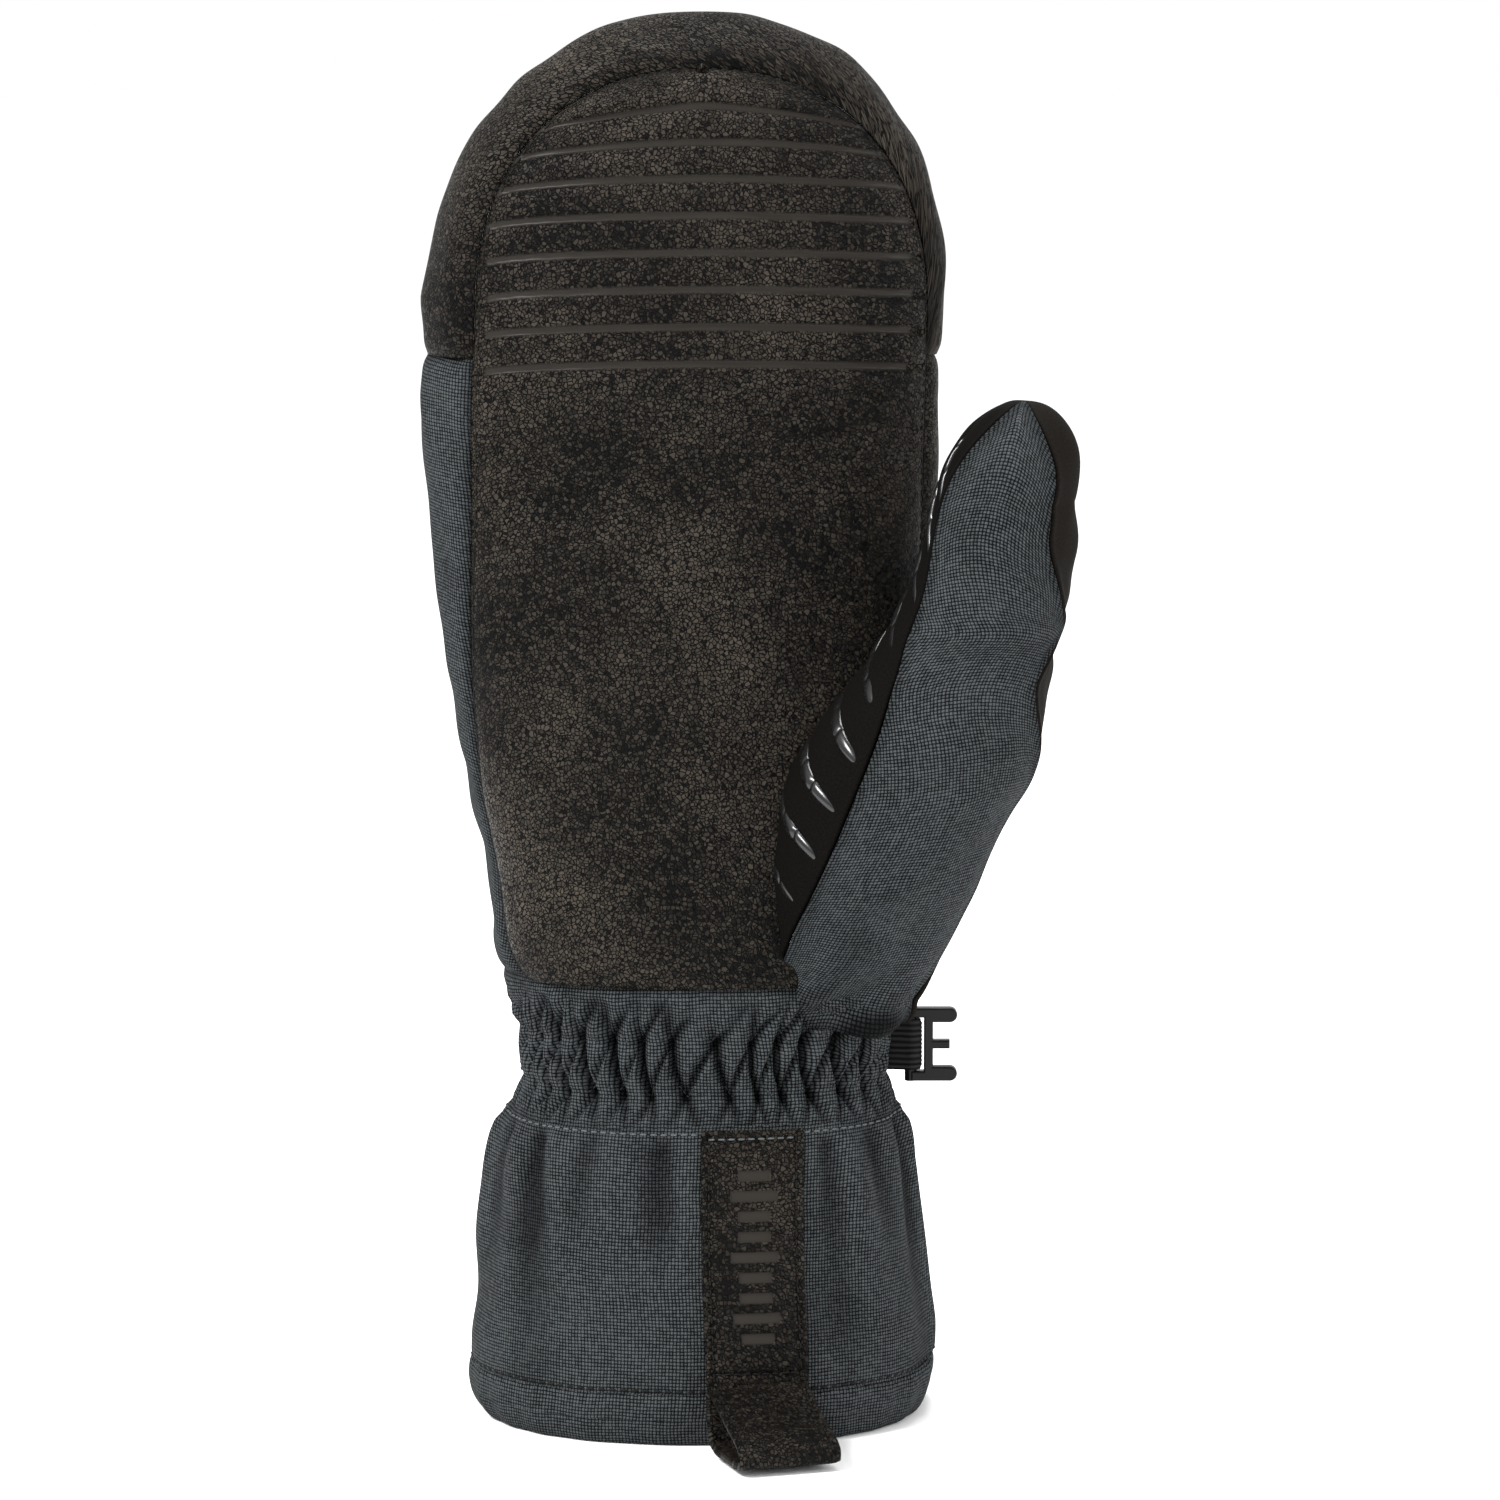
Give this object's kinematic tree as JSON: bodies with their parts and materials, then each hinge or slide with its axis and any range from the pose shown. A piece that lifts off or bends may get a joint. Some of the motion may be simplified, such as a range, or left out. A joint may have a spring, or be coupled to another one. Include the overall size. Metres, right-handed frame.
{
  "type": "ski mitten",
  "caption": "Insulated right-hand ski mitten with a leather palm, woven shell, gathered elastic wrist, gauntlet cuff, pull loop and side clip, standing on its cuff.",
  "frame": {"origin": "centre of the cuff's rim, in the plane that the rim rests on", "axes": "+Z from the cuff to the fingertips, -Y out of the palm, +X towards the thumb"},
  "size_m": [0.141, 0.1132, 0.2998],
  "materials": {
    "grain_leather": "fine crackle grain, semi-matte",
    "suede": "napped suede",
    "woven_shell": "heavy plain weave, matte",
    "membrane": "thin waterproof film on knit",
    "insulation": "lofted fibre wadding",
    "lining": "brushed fleece",
    "elastic": "woven elastic",
    "silicone": "glossy printed silicone",
    "webbing": "flat woven tape",
    "clip_plastic": "moulded, satin"
  },
  "bodies": {
    "cuff": {"cuff_hem": "woven_shell", "cuff_shell": "woven_shell", "cuff_padding": "insulation", "cuff_lining": "lining", "wrist_shell": "woven_shell", "wrist_lining": "lining", "lower_wrist_elastic": "elastic", "upper_wrist_elastic": "elastic", "pull_tab": "grain_leather", "clip_webbing": "webbing"},
    "hand": {"palm_panel": "grain_leather", "back_panel": "woven_shell", "outer_gusset": "woven_shell", "index_gusset": "grain_leather", "hand_membrane": "membrane", "hand_palm_insulation": "insulation", "hand_back_insulation": "insulation", "hand_lining": "lining", "thumb_base_front_panel": "woven_shell", "thumb_base_inner_panel": "suede", "thumb_base_back_panel": "suede", "thumb_base_membrane": "membrane", "thumb_base_insulation": "insulation", "thumb_base_lining": "lining", "thumb_base_grip_strokes": "silicone"},
    "fingers": {"finger_palm_panel": "grain_leather", "finger_back_panel": "woven_shell", "fingertip_wrap": "grain_leather", "finger_membrane": "membrane", "finger_palm_insulation": "insulation", "finger_back_insulation": "insulation", "finger_lining": "lining"},
    "thumb": {"thumb_front_panel": "woven_shell", "thumb_inner_panel": "suede", "thumb_back_panel": "suede", "thumb_membrane": "membrane", "thumb_insulation": "insulation", "thumb_lining": "lining", "thumb_grip_strokes": "silicone"},
    "pull_loop": {"pull_loop": "grain_leather"},
    "glove_clip": {"glove_clip": "clip_plastic"}
  },
  "joints": [
    {"name": "wrist_bend", "type": "hinge", "parent": "cuff", "child": "hand", "pos_m": [0, 0, 0.068], "axis": [1, 0, 0], "range_deg": [-15, 15]},
    {"name": "finger_curl", "type": "hinge", "parent": "hand", "child": "fingers", "pos_m": [0, -0.0255, 0.222], "axis": [1, 0, 0], "range_deg": [0, 60]},
    {"name": "thumb_flex", "type": "hinge", "parent": "hand", "child": "thumb", "pos_m": [0.0395, -0.024, 0.12], "axis": [0.9659, -0.2588, 0], "range_deg": [0, 35]},
    {"name": "loop_lift", "type": "hinge", "parent": "cuff", "child": "pull_loop", "pos_m": [0.01256, -0.04431, 0.0128], "axis": [-0.9511, -0.309, 0], "range_deg": [0, 88]},
    {"name": "clip_swing", "type": "hinge", "parent": "cuff", "child": "glove_clip", "pos_m": [0.0458, 0, 0.079], "axis": [0, 0, 1], "range_deg": [-85, 85]}
  ]
}
